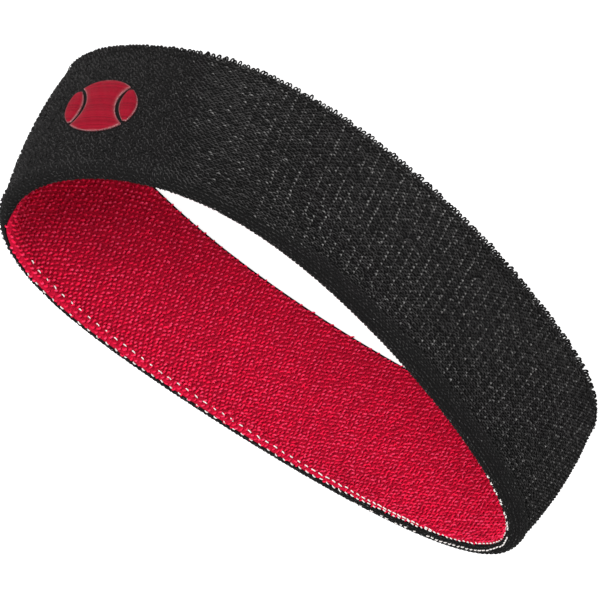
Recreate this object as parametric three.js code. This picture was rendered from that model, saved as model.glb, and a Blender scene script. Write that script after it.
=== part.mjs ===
// A two-colour terry sports headband, standing on its looped edge with its sewn edge up.
// Millimetres, +Z up, the long way of the band along X, the emblem on the -Y wall near +X.
import * as THREE from "three";

// The whole band.
const BAND_HEIGHT = 51;
const HALF_LENGTH = 80;
const HALF_DEPTH = 35.2;
const WALL_BULGE = 2.3; // how far the wall swells outward at half height

// How each edge of the band differs from the half length and half depth above.
// An outline is x = length cos t + taper cos 2t + square cos 3t + shiftX,
//               y = depth sin t + lean sin 2t + corner sin 3t + bow cos 2t + shiftY.
const SEWN_EDGE = {
  longer: -3.1,
  deeper: 2.1,
  taper: -10.3,
  square: 2.7,
  lean: 0.6,
  corner: 0.4,
  bow: 4.7,
  shiftX: 0,
  shiftY: 0,
};
const LOOPED_EDGE = {
  longer: 3.1,
  deeper: -2.1,
  taper: -16.2,
  square: 2.6,
  lean: -5.0,
  corner: -0.8,
  bow: 3.3,
  shiftX: 4.6,
  shiftY: 1.2,
};

// Through the wall, from the inside out.
const INNER_PLY = 1.3;
const OUTER_PLY = 1.3;
const YARN_DIAMETER = 0.5;
const BACKING_THICKNESS = 0.3;
const CLEARANCE = 0.3; // between any two neighbouring pieces
const CORE = YARN_DIAMETER + BACKING_THICKNESS + 3 * CLEARANCE;
const WALL = INNER_PLY + CORE + OUTER_PLY;
const OUTER_FACE = WALL / 2;
const INNER_FACE = -WALL / 2;
const CORE_OUTER = OUTER_FACE - OUTER_PLY;
const CORE_INNER = INNER_FACE + INNER_PLY;

// Edges of the plies.
const TURNED_HEM = 1.3; // height of the outer ply's turned lip under the inner ply
const BASE_ROUNDING = 0.6;
const SEWN_ROUNDING = 1.1;

// Elastic yarns laid in the core.
const YARN_COUNT = 8;
const YARN_EDGE_MARGIN = 6;

// Rows of seam thread at the sewn edge.
const THREAD_DIAMETER = 0.5;
const LINKING_THREAD_DROP = 0.5; // from the sewn edge to the thread's middle
const INNER_ROW_DROP = 3.2;
const OUTER_ROW_DROP = 2.8;

// The emblem: a ball in three stitched panels, with a backing between the plies.
const EMBLEM_AT = -0.61; // outline angle of its middle, in radians
const EMBLEM_HEIGHT = 28;
const EMBLEM_DIAMETER = 20;
const EMBLEM_THICKNESS = 0.6;
const EMBLEM_SEAM_GAP = 1.2;
const EMBLEM_SEAM_RADIUS = 11; // of the arc between a cap and the centre panel
const EMBLEM_CAP_WIDTH = 5.2; // of a side cap at half height
const EMBLEM_END_WIDTH = 0.8; // of the last stitch at a panel's tip
const BACKING_MARGIN = 2;

// Fineness of the meshes.
const STATIONS = 56;
const WALL_LEVELS = 6;
const ROUND_STEPS = 3;
const THREAD_SIDES = 5;
const PANEL_ROWS = 10;
const PANEL_COLUMNS = 3;

const COLOURS = {
  black_terry: { color: 0x1d1d20, roughness: 0.95, metalness: 0 },
  red_terry: { color: 0xb0142c, roughness: 0.95, metalness: 0 },
  pale_thread: { color: 0xd9d4cf, roughness: 0.8, metalness: 0 },
  elastic_yarn: { color: 0xbfb8a8, roughness: 0.6, metalness: 0 },
  satin_stitch: { color: 0xb8182f, roughness: 0.5, metalness: 0 },
  backing_felt: { color: 0xe6e6e2, roughness: 0.9, metalness: 0 },
};

const band = new THREE.Group();
band.name = "sports_headband";

// Point and derivative of one edge's outline at angle t.
function edgeOutline(edge, t) {
  const length = HALF_LENGTH + edge.longer;
  const depth = HALF_DEPTH + edge.deeper;
  return {
    x: length * Math.cos(t) + edge.taper * Math.cos(2 * t) + edge.square * Math.cos(3 * t) + edge.shiftX,
    y:
      depth * Math.sin(t) +
      edge.lean * Math.sin(2 * t) +
      edge.corner * Math.sin(3 * t) +
      edge.bow * Math.cos(2 * t) +
      edge.shiftY,
    dx: -length * Math.sin(t) - 2 * edge.taper * Math.sin(2 * t) - 3 * edge.square * Math.sin(3 * t),
    dy:
      depth * Math.cos(t) +
      2 * edge.lean * Math.cos(2 * t) +
      3 * edge.corner * Math.cos(3 * t) -
      2 * edge.bow * Math.sin(2 * t),
  };
}

// The same for the middle of the wall at any height: a straight blend of the two edges.
function middleOutline(t, height) {
  const low = edgeOutline(LOOPED_EDGE, t);
  const high = edgeOutline(SEWN_EDGE, t);
  const rise = height / BAND_HEIGHT;
  const blend = (key) => low[key] + (high[key] - low[key]) * rise;
  return { x: blend("x"), y: blend("y"), dx: blend("dx"), dy: blend("dy") };
}

// A point of the wall: t round the band, height up it, and out from the wall's middle.
function wallPoint(t, height, out) {
  const middle = middleOutline(t, height);
  const speed = Math.hypot(middle.dx, middle.dy);
  const rise = height / BAND_HEIGHT;
  const reach = out + WALL_BULGE * 4 * rise * (1 - rise);
  return new THREE.Vector3(
    middle.x + (reach * middle.dy) / speed,
    middle.y - (reach * middle.dx) / speed,
    height,
  );
}

// Outline angle at a distance along the wall from the emblem's middle.
function angleAlong(distance) {
  const steps = 12;
  let t = EMBLEM_AT;
  for (let i = 0; i < steps; i += 1) {
    const { dx, dy } = middleOutline(t, EMBLEM_HEIGHT);
    t += distance / steps / Math.hypot(dx, dy);
  }
  return t;
}

function moveVertices(geometry, place) {
  const position = geometry.attributes.position;
  for (let i = 0; i < position.count; i += 1) {
    const moved = place(position.getX(i), position.getY(i), position.getZ(i));
    position.setXYZ(i, moved.x, moved.y, moved.z);
  }
  geometry.computeVertexNormals();
  return geometry;
}

function addPiece(name, colour, geometry) {
  const piece = new THREE.Mesh(geometry, new THREE.MeshStandardMaterial(COLOURS[colour]));
  piece.name = name;
  band.add(piece);
}

// A ring round the band: a closed section of [out, height] pairs, turned and bent to the wall.
function ring(section) {
  const turningRadius = HALF_LENGTH;
  const points = [...section, section[0]].map(
    ([out, height]) => new THREE.Vector2(turningRadius + out, height),
  );
  return moveVertices(new THREE.LatheGeometry(points, STATIONS), (x, y, z) =>
    wallPoint(Math.atan2(x, z), y, Math.hypot(x, z) - turningRadius),
  );
}

// Points of an arc in a section, angles in degrees, counter-clockwise from straight out.
function arc(out, height, radius, from, to) {
  return Array.from({ length: ROUND_STEPS + 1 }, (_, i) => {
    const angle = THREE.MathUtils.degToRad(from + ((to - from) * i) / ROUND_STEPS);
    return [out + radius * Math.cos(angle), height + radius * Math.sin(angle)];
  });
}

// Points up or down one face of a section, both ends left out.
function face(out, from, to) {
  return Array.from({ length: WALL_LEVELS - 1 }, (_, i) => [
    out,
    from + ((to - from) * (i + 1)) / WALL_LEVELS,
  ]);
}

// Black outer ply, with its lower edge turned in under the inner ply.
function outerPly() {
  const base = BASE_ROUNDING;
  const top = BAND_HEIGHT - SEWN_ROUNDING;
  return ring([
    ...arc(OUTER_FACE - base, base, base, -90, 0),
    ...face(OUTER_FACE, base, top),
    ...arc(OUTER_FACE - SEWN_ROUNDING, top, SEWN_ROUNDING, 0, 90),
    [CORE_OUTER, BAND_HEIGHT],
    ...face(CORE_OUTER, BAND_HEIGHT, TURNED_HEM),
    [CORE_OUTER, TURNED_HEM],
    [INNER_FACE, TURNED_HEM],
    ...arc(INNER_FACE + base, base, base, 180, 270),
  ]);
}

// Red inner ply, standing on the turned lip.
function innerPly() {
  const foot = TURNED_HEM + CLEARANCE;
  const top = BAND_HEIGHT - SEWN_ROUNDING;
  return ring([
    [CORE_INNER, foot],
    ...face(CORE_INNER, foot, BAND_HEIGHT),
    [CORE_INNER, BAND_HEIGHT],
    ...arc(INNER_FACE + SEWN_ROUNDING, top, SEWN_ROUNDING, 90, 180),
    ...face(INNER_FACE, top, foot),
    [INNER_FACE, foot],
  ]);
}

// A thread or yarn laid right round the band.
function threadRing(out, height, diameter) {
  const side = 360 / THREAD_SIDES;
  const section = Array.from({ length: THREAD_SIDES }, (_, i) => {
    const angle = THREE.MathUtils.degToRad(i * side);
    return [out + (diameter / 2) * Math.cos(angle), height + (diameter / 2) * Math.sin(angle)];
  });
  return ring(section);
}

// A flat panel laid on the wall: its left and right limits are functions of the height in it.
function panel(halfHeight, leftAt, rightAt, innerOut, thickness) {
  const block = new THREE.BoxGeometry(1, 1, 1, PANEL_COLUMNS, PANEL_ROWS, 1);
  return moveVertices(block, (x, y, z) => {
    const up = 2 * halfHeight * y;
    const left = leftAt(up);
    const right = rightAt(up);
    const along = (left + right) / 2 + x * (right - left);
    return wallPoint(angleAlong(along), EMBLEM_HEIGHT + up, innerOut + (z + 0.5) * thickness);
  });
}

// Half the width of a disc at a height in it.
function discHalfWidth(radius, up) {
  return Math.sqrt(Math.max(radius * radius - up * up, 0));
}

// The arc between the right cap and the centre panel: it bows towards the middle of the ball.
function seamArc(up) {
  const middle = EMBLEM_DIAMETER / 2 - EMBLEM_CAP_WIDTH + EMBLEM_SEAM_RADIUS;
  return middle - discHalfWidth(EMBLEM_SEAM_RADIUS, up);
}

// Height where the ball's rim and a curve meet, leaving the end stitch between them.
function tipHeight(widthAt) {
  let low = 0;
  let high = EMBLEM_DIAMETER / 2;
  const halvings = 30;
  for (let i = 0; i < halvings; i += 1) {
    const middle = (low + high) / 2;
    if (widthAt(middle) > EMBLEM_END_WIDTH) low = middle;
    else high = middle;
  }
  return low;
}

function emblem() {
  const radius = EMBLEM_DIAMETER / 2;
  const rim = (up) => discHalfWidth(radius, up);
  const capSide = (up) => seamArc(up) + EMBLEM_SEAM_GAP / 2;
  const centreSide = (up) => Math.min(seamArc(up) - EMBLEM_SEAM_GAP / 2, rim(up));
  const capTip = tipHeight((up) => rim(up) - capSide(up));
  const centreTip = tipHeight((up) => 2 * centreSide(up));
  const stitched = OUTER_FACE + CLEARANCE;
  const pieces = {
    emblem_right_cap: [capTip, capSide, rim],
    emblem_centre: [centreTip, (up) => -centreSide(up), centreSide],
    emblem_left_cap: [capTip, (up) => -rim(up), (up) => -capSide(up)],
  };
  for (const [name, [tip, leftAt, rightAt]] of Object.entries(pieces)) {
    addPiece(name, "satin_stitch", panel(tip, leftAt, rightAt, stitched, EMBLEM_THICKNESS));
  }
  const backing = EMBLEM_DIAMETER / 2 + BACKING_MARGIN;
  const backingOut = CORE_OUTER - CLEARANCE - BACKING_THICKNESS;
  const square = () => backing;
  addPiece(
    "emblem_backing",
    "backing_felt",
    panel(backing, () => -square(), square, backingOut, BACKING_THICKNESS),
  );
}

addPiece("outer_terry_ply", "black_terry", outerPly());
addPiece("inner_terry_ply", "red_terry", innerPly());

const yarnOut = CORE_INNER + CLEARANCE + YARN_DIAMETER / 2;
const yarnPitch = (BAND_HEIGHT - 2 * YARN_EDGE_MARGIN) / (YARN_COUNT - 1);
for (let i = 0; i < YARN_COUNT; i += 1) {
  const height = YARN_EDGE_MARGIN + i * yarnPitch;
  addPiece(`elastic_yarn_${i + 1}`, "elastic_yarn", threadRing(yarnOut, height, YARN_DIAMETER));
}

const rowStandoff = CLEARANCE + THREAD_DIAMETER / 2;
const seamRows = {
  linking_thread: [(CORE_OUTER + CORE_INNER) / 2, LINKING_THREAD_DROP],
  inner_seam_thread: [INNER_FACE - rowStandoff, INNER_ROW_DROP],
  outer_seam_thread: [OUTER_FACE + rowStandoff, OUTER_ROW_DROP],
};
for (const [name, [out, drop]] of Object.entries(seamRows)) {
  addPiece(name, "pale_thread", threadRing(out, BAND_HEIGHT - drop, THREAD_DIAMETER));
}

emblem();

// The origin goes to the middle of the band's footprint, at the surface it stands on.
const size = new THREE.Box3().setFromObject(band);
const middle = size.getCenter(new THREE.Vector3());
for (const piece of band.children) piece.geometry.translate(-middle.x, -middle.y, 0);

export default band;
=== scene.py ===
"""Looks of a two-colour terry sports headband: knitted plies, looped pile, seams and emblem."""

import math
from types import SimpleNamespace

import bpy
import numpy as np
from bpy.props import FloatProperty, FloatVectorProperty, PointerProperty
from mathutils import Matrix, Vector


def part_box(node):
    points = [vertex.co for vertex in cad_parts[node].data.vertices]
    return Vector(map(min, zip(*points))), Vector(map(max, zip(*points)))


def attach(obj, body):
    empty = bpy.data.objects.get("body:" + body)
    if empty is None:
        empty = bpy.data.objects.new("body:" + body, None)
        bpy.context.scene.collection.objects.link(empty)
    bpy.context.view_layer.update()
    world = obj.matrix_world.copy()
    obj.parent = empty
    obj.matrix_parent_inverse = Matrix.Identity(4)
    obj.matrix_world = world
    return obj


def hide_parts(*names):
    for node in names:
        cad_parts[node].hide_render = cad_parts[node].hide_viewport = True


bl_info = {
    "name": "Terry Headband",
    "version": (1, 0, 0),
    "blender": (4, 5, 0),
    "location": "3D View > Sidebar > Headband",
    "description": "Builds a two-colour terry headband round its frame",
    "category": "Add Mesh",
}

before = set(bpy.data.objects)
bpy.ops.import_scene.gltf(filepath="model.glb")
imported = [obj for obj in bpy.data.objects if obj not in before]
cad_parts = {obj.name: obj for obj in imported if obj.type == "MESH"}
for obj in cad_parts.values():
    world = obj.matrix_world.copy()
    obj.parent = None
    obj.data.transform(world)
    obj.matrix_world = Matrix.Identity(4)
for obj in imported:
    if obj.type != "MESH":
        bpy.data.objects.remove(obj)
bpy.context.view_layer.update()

MM = 0.001
TAU = 2 * math.pi


# ---------------------------------------------------------------- sizes shared with the frame


def node_size(node, axis):
    """A node's extent along an axis: the high side of its box less the low side."""
    low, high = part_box(node)
    return high[axis] - low[axis]


BAND_HEIGHT = node_size("outer_terry_ply", 2)
YARN_COUNT = sum(name.startswith("elastic_yarn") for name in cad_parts)
YARN_DIAMETER = node_size("elastic_yarn_1", 2)
EMBLEM_HEIGHT = 28 * MM
EMBLEM_RADIUS = max(abs(corner[2] - EMBLEM_HEIGHT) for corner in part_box("emblem_centre"))

# The two edges of the band as outlines of a few harmonics, in millimetres, and the swell of the
# wall between them.
WALL_BULGE = 2.3 * MM
SEWN_EDGE = SimpleNamespace(
    length=76.9, depth=37.3, taper=-10.3, square=2.7, lean=0.6, corner=0.4, bow=4.7, x=0, y=0
)
LOOPED_EDGE = SimpleNamespace(
    length=83.1, depth=33.1, taper=-16.2, square=2.6, lean=-5.0, corner=-0.8, bow=3.3, x=4.6, y=1.2
)

# Through the wall, measured out from its middle.
PLY_FACE = 2.15 * MM
GROUND_FACE = 1.35 * MM
GROUND_THICKNESS = 0.7 * MM
YARN_OUT = -0.3 * MM
BACKING_OUT = 0.25 * MM
BACKING_THICKNESS = 0.3 * MM
BACKING_MARGIN = 2 * MM

# Along the wall, measured up from the looped edge.
FOLD_RADIUS = 1.9 * MM
FOLD_HEIGHT = 2.4 * MM
FOLD_BLEND = 2 * MM
LIP_ANGLE = 232
INNER_FOOT = 1.6 * MM
ROLL_RADIUS = 2.1 * MM
ROLL_HEIGHT = BAND_HEIGHT - 1.5 * MM
HEM_SWELL = 0.12 * MM
HEM_WIDTH = 4.0 * MM
HEM_FOOT = ROLL_HEIGHT + MM - HEM_WIDTH
SELVAGE_WIDTH = 2.6 * MM
PUCKER_COUNT = 168
PUCKER_SIZE = 0.05 * MM
EDGE_YARN_HEIGHT = 6 * MM

# Where black meets red on the sewn roll, in degrees from straight out. The emblem is at the +X
# end of the near wall, which is the -Y one. Each ply stops a little short of the border.
BORDER_AT_EMBLEM_END = 89
BORDER_ON_FAR_WALL = 96
BORDER_AT_NARROW_END = 139
BORDER_ON_NEAR_WALL = 152
BORDER_GAP = 5

# Stations of a ply round the band.
STATIONS = 1000

# The emblem: the outline angle of its middle, and the arcs between its three panels.
EMBLEM_AT = -0.61
EMBLEM_SEAM_RADIUS = 11 * MM
EMBLEM_SEAM_GAP = 1.2 * MM
EMBLEM_CAP_WIDTH = 5.2 * MM
EMBLEM_END_WIDTH = 0.8 * MM


# ---------------------------------------------------------------- the wall as a formula


def edge_outline(edge, t):
    """x = length cos t + taper cos 2t + square cos 3t, y = depth sin t + lean sin 2t + corner sin 3t
    + bow cos 2t, with their derivatives."""
    x = edge.length * np.cos(t) + edge.taper * np.cos(2 * t) + edge.square * np.cos(3 * t) + edge.x
    y = edge.depth * np.sin(t) + edge.lean * np.sin(2 * t) + edge.corner * np.sin(3 * t)
    y = y + edge.bow * np.cos(2 * t) + edge.y
    dx = -edge.length * np.sin(t) - 2 * edge.taper * np.sin(2 * t) - 3 * edge.square * np.sin(3 * t)
    dy = edge.depth * np.cos(t) + 2 * edge.lean * np.cos(2 * t) + 3 * edge.corner * np.cos(3 * t)
    dy = dy - 2 * edge.bow * np.sin(2 * t)
    return [MM * value for value in (x, y, dx, dy)]


def middle_outline(t, z):
    """A straight blend of the two edges' outlines at height z."""
    low, high = edge_outline(LOOPED_EDGE, t), edge_outline(SEWN_EDGE, t)
    return [a + (b - a) * z / BAND_HEIGHT for a, b in zip(low, high)]


def swell(z):
    """The wall bows out as a parabola that is nil at both edges."""
    rise = z / BAND_HEIGHT
    return 4 * WALL_BULGE * rise * (1 - rise)


def uncentred_wall(t, z, out):
    """The point at angle t and height z, stepped out along the outline's normal."""
    t, z, out = np.broadcast_arrays(t, z, out)
    x, y, dx, dy = middle_outline(t, z)
    speed = np.hypot(dx, dy)
    reach = out + swell(z)
    return np.stack((x + reach * dy / speed, y - reach * dx / speed, z), axis=-1)


def frame_offset():
    """From the formula's origin to the frame's: the difference of the outer ply's box centres."""
    frame_stations, levels_up = 56, 7
    t = np.linspace(0, TAU, frame_stations, endpoint=False)[:, None]
    levels = np.linspace(0.6 * MM, BAND_HEIGHT - 1.1 * MM, levels_up)
    points = uncentred_wall(t, levels, PLY_FACE).reshape(-1, 3)
    low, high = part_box("outer_terry_ply")
    shift = (np.array(low + high) - points.min(0) - points.max(0)) / 2
    return np.array((shift[0], shift[1], 0))


OFFSET = frame_offset()


def wall(t, z, out):
    """The same point of the wall, moved into the frame."""
    return uncentred_wall(t, z, out) + OFFSET


def wall_speed(t, z):
    """Metres along the wall for a radian of t: the length of the outline's derivative."""
    _, _, dx, dy = middle_outline(t, z)
    return np.hypot(dx, dy)


def round_table():
    """Distance round the band at half height against angle: the running sum of the speed."""
    intervals = 4096
    t = np.linspace(0, TAU, intervals + 1)
    speed = wall_speed(t, BAND_HEIGHT / 2)
    distance = np.concatenate(([0], np.cumsum((speed[1:] + speed[:-1]) / 2 * np.diff(t))))
    return t, distance


ROUND_ANGLES, ROUND_DISTANCES = round_table()
GIRTH = ROUND_DISTANCES[-1]


def angle_at(distance):
    """The outline angle at a distance round the band, carried on past whole turns."""
    turns = np.floor(distance / GIRTH)
    return np.interp(distance - turns * GIRTH, ROUND_DISTANCES, ROUND_ANGLES) + turns * TAU


def distance_at(t):
    """The distance round the band at an outline angle, carried on past whole turns."""
    turns = np.floor(t / TAU)
    return np.interp(t - turns * TAU, ROUND_ANGLES, ROUND_DISTANCES) + turns * GIRTH


def even_angles(count):
    """Angles of places that are evenly spaced round the band."""
    return angle_at(np.arange(count) * GIRTH / count)


def smooth_step(low, high, value):
    """0 at low and 1 at high, with a cubic of level ends between; high may be the lesser."""
    share = np.clip((value - low) / (high - low), 0, 1)
    return share * share * (3 - 2 * share)


def blended(first, second, share):
    """The first at share 0 and the second at share 1, in a straight line between."""
    return first + (second - first) * share


def border_angle(t):
    """The border on the roll: steps from the +X end to the +Y wall and on to the -X end, blended
    into one angle all along the -Y wall."""
    along = -np.cos(t)
    to_wall = BORDER_ON_FAR_WALL - BORDER_AT_EMBLEM_END
    to_narrow = BORDER_AT_NARROW_END - BORDER_ON_FAR_WALL
    far = BORDER_AT_EMBLEM_END + to_wall * smooth_step(-0.45, -0.07, along)
    far = far + to_narrow * smooth_step(0.4, 1.0, along)
    return blended(far, BORDER_ON_NEAR_WALL, smooth_step(-0.35, -0.05, -np.sin(t)))


def round_from_emblem(t):
    """Distance round the band from the emblem's middle, from minus half a girth to plus half."""
    return (distance_at(t) - distance_at(EMBLEM_AT) + GIRTH / 2) % GIRTH - GIRTH / 2


def beside_emblem(t, near, far):
    """0 on the fine, calm stretch from the emblem round the +X end, 1 from far on."""
    calm_middle = 15 * MM
    along = distance_at(t) - distance_at(EMBLEM_AT) - calm_middle
    along = (along + GIRTH / 2) % GIRTH - GIRTH / 2
    return smooth_step(near, far, np.abs(along))


def coarseness(t):
    """0 where the outer loops are fine, 1 where they are full."""
    return beside_emblem(t, 31 * MM, 47 * MM)


def hem_share(t):
    """0 where the sewn edge has no hem, 1 where the hem is full."""
    return beside_emblem(t, 45 * MM, 85 * MM)


def spaced_places(pitch_at):
    """Distances round the band whose spacing follows a pitch that changes with the angle."""
    density = 1 / pitch_at(ROUND_ANGLES)
    step = (density[1:] + density[:-1]) / 2 * np.diff(ROUND_DISTANCES)
    counted = np.concatenate(([0], np.cumsum(step)))
    count = round(counted[-1])
    return np.interp(np.arange(count) + 0.5, counted * count / counted[-1], ROUND_DISTANCES)


# ---------------------------------------------------------------- meshes from arrays


def unit(vectors):
    """Each vector over its own length."""
    return vectors / np.linalg.norm(vectors, axis=-1, keepdims=True)


def dot(a, b):
    """Sum of the products of two vectors' parts, kept as a last axis of one."""
    return (a * b).sum(-1, keepdims=True)


def ring_faces(rows, columns, closed_rows, closed_columns):
    """Corner numbers of the quads of a grid that may close on itself either way."""
    r = np.arange(rows if closed_rows else rows - 1)[:, None]
    c = np.arange(columns if closed_columns else columns - 1)
    r, c = np.broadcast_arrays(r, c)
    r1, c1 = (r + 1) % rows, (c + 1) % columns
    quads = (r * columns + c, r1 * columns + c, r1 * columns + c1, r * columns + c1)
    return np.stack(quads, axis=-1).reshape(-1, 4)


def grid_corners(rows, columns, closed_rows, closed_columns):
    """Row and column of each corner of those quads, counted past the seam and not round it."""
    r = np.arange(rows if closed_rows else rows - 1)[:, None]
    c = np.arange(columns if closed_columns else columns - 1)
    r, c = np.broadcast_arrays(r, c)
    row = np.stack((r, r + 1, r + 1, r), axis=-1).reshape(-1, 4)
    column = np.stack((c, c, c + 1, c + 1), axis=-1).reshape(-1, 4)
    return row, column


def enclosed_volume(points, faces):
    """A sixth of the triple products of the quads' two triangles; negative when inside out."""
    a, b, c, d = (points[faces[:, i]] for i in range(4))
    return (dot(a, np.cross(b, c)).sum() + dot(a, np.cross(c, d)).sum()) / 6


def make_piece(name, points, faces, material, maps, marks=None):
    """A mesh of quads that face outwards, with its UV maps and its named shares per point."""
    points = points.reshape(-1, 3)
    if enclosed_volume(points, faces) < 0:
        faces = faces[:, ::-1]
        maps = {key: value[:, ::-1] for key, value in maps.items()}
    mesh = bpy.data.meshes.new(name)
    mesh.vertices.add(len(points))
    mesh.vertices.foreach_set("co", points.astype(np.float32).ravel())
    mesh.loops.add(faces.size)
    mesh.loops.foreach_set("vertex_index", faces.astype(np.int32).ravel())
    mesh.polygons.add(len(faces))
    mesh.polygons.foreach_set("loop_start", np.arange(0, faces.size, 4, dtype=np.int32))
    mesh.update(calc_edges=True)
    mesh.polygons.foreach_set("use_smooth", np.ones(len(faces), bool))
    for key, value in maps.items():
        layer = mesh.uv_layers.new(name=key)
        layer.data.foreach_set("uv", value.astype(np.float32).ravel())
    for key, value in (marks or {}).items():
        attribute = mesh.attributes.new(key, "FLOAT", "POINT")
        attribute.data.foreach_set("value", np.asarray(value, np.float32).ravel())
    mesh.materials.append(material)
    mesh.validate()
    piece = bpy.data.objects.new(name, mesh)
    bpy.context.scene.collection.objects.link(piece)
    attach(piece, "root")
    return piece


# UV maps: one sheet without overlaps, and two in millimetres for the patterns.
BAKE_MAP = "OFBake"
CLOTH_MAP = "Cloth"
YARN_MAP = "Yarn"


def tubes(name, paths, side, radius, material, marks=None, corners=4, taper=None):
    """Many closed tubes: at every point of a path, a ring of corners in the plane across it.

    paths is tubes x steps x 3, side is a direction across each tube, and radius is one number
    or one for each tube. corners is even, and fans of quads close the two ends. Each tube's
    faces unroll into one cell of a square sheet."""
    count, steps, _ = paths.shape
    tangent = unit(np.gradient(paths, axis=1))
    across = np.broadcast_to(side, paths.shape)
    across = unit(across - dot(across, tangent) * tangent)
    above = np.cross(tangent, across)
    angle = TAU * (np.arange(corners) + 0.5) / corners
    width = np.broadcast_to(np.asarray(radius, float), (count,))[:, None, None, None]
    width = width * (np.ones(steps) if taper is None else taper)[None, :, None, None]
    spoke = np.cos(angle)[:, None] * across[:, :, None] + np.sin(angle)[:, None] * above[:, :, None]
    points = paths[:, :, None] + width * spoke

    body = ring_faces(steps, corners, False, True)
    fans = [(0, 2 * i + 1, 2 * i + 2, 2 * i + 3) for i in range(corners // 2 - 1)]
    foot = np.array(fans)[:, ::-1]
    head = np.array(fans) + (steps - 1) * corners
    one = np.concatenate((body, foot, head))
    faces = (np.arange(count)[:, None, None] * steps * corners + one).reshape(-1, 4)

    row, column = grid_corners(steps, corners, False, True)
    cap, gap = 0.1, 0.2
    cap_row = np.repeat([[0, 0, cap, cap]], 2 * len(fans), axis=0)
    cap_column = np.repeat([[0, cap, cap, 0]], 2 * len(fans), axis=0)
    row = np.concatenate((row, cap_row))
    column = np.concatenate((column, cap_column + corners + gap))
    cells = math.ceil(math.sqrt(count))
    cell = np.stack(np.divmod(np.arange(count), cells), axis=-1)[:, None, None, :]
    share = np.stack((row / (steps - 1), column / (corners + 2 * gap)), axis=-1)
    inset = 0.04
    sheet = (cell + inset + (1 - 2 * inset) * share) / cells
    length = np.linalg.norm(np.diff(paths, axis=1), axis=-1).sum(1)[:, None, None]
    along = row / (steps - 1) * length
    around = np.broadcast_to(column / corners, along.shape)
    maps = {
        BAKE_MAP: sheet.reshape(-1, 4, 2),
        YARN_MAP: np.stack((around, along / MM), axis=-1).reshape(-1, 4, 2),
    }
    spread = {}
    for key, value in (marks or {}).items():
        value = value if value.ndim == 2 else np.repeat(value[:, None], steps, axis=1)
        spread[key] = np.repeat(value[:, :, None], corners, axis=2)
    return make_piece(name, points, faces, material, maps, spread)


def slab(rows, columns, corner, map_at):
    """Faces and bake map of a front and a back sheet joined at their rims.

    A row of points is the front's columns and then the back's in reverse. The quads run round
    each row, and strips between front and back close the first and last rows. map_at gives the
    body's map from row and column; the strips share one small cell at a corner of the map."""
    body = ring_faces(rows, 2 * columns, False, True)
    first = np.arange(columns - 1)
    mirrored = 2 * columns - 1 - first
    start = np.stack((first, first + 1, mirrored - 1, mirrored), axis=-1)
    end = start[:, ::-1] + (rows - 1) * 2 * columns
    sheet = map_at(*grid_corners(rows, 2 * columns, False, True))
    cell = np.array(corner) + 0.01 * np.array([[0, 0], [1, 0], [1, 1], [0, 1]])
    ends = np.broadcast_to(cell, (2 * len(start), 4, 2))
    return np.concatenate((body, start, end)), np.concatenate((sheet, ends))


def there_and_back(values):
    """The front's values, and then the same in reverse for the back."""
    return np.concatenate((values, values[:, ::-1]), axis=1)


# ---------------------------------------------------------------- materials


class Number:
    """A shader value that Python's operators work on. Each operator adds one Math node."""

    def __init__(self, graph, socket):
        self.graph = graph
        self.socket = socket

    def math(self, operation, *values):
        """The result of one Math node."""
        sockets = dict(enumerate(values))
        node = self.graph.node("ShaderNodeMath", {"operation": operation}, sockets)
        return Number(self.graph, node.outputs[0])

    def __add__(self, other):
        return self.math("ADD", self, other)

    def __radd__(self, other):
        return self.math("ADD", other, self)

    def __sub__(self, other):
        return self.math("SUBTRACT", self, other)

    def __rsub__(self, other):
        return self.math("SUBTRACT", other, self)

    def __mul__(self, other):
        return self.math("MULTIPLY", self, other)

    def __rmul__(self, other):
        return self.math("MULTIPLY", other, self)

    def __pow__(self, other):
        return self.math("POWER", self, other)

    def sine(self):
        """The sine of a value in radians."""
        return self.math("SINE", self)

    def size(self):
        """The value without its sign."""
        return self.math("ABSOLUTE", self)

    def clamped(self):
        """The value held between 0 and 1."""
        node = self.graph.node("ShaderNodeClamp", {}, {0: self})
        return Number(self.graph, node.outputs[0])


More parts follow.
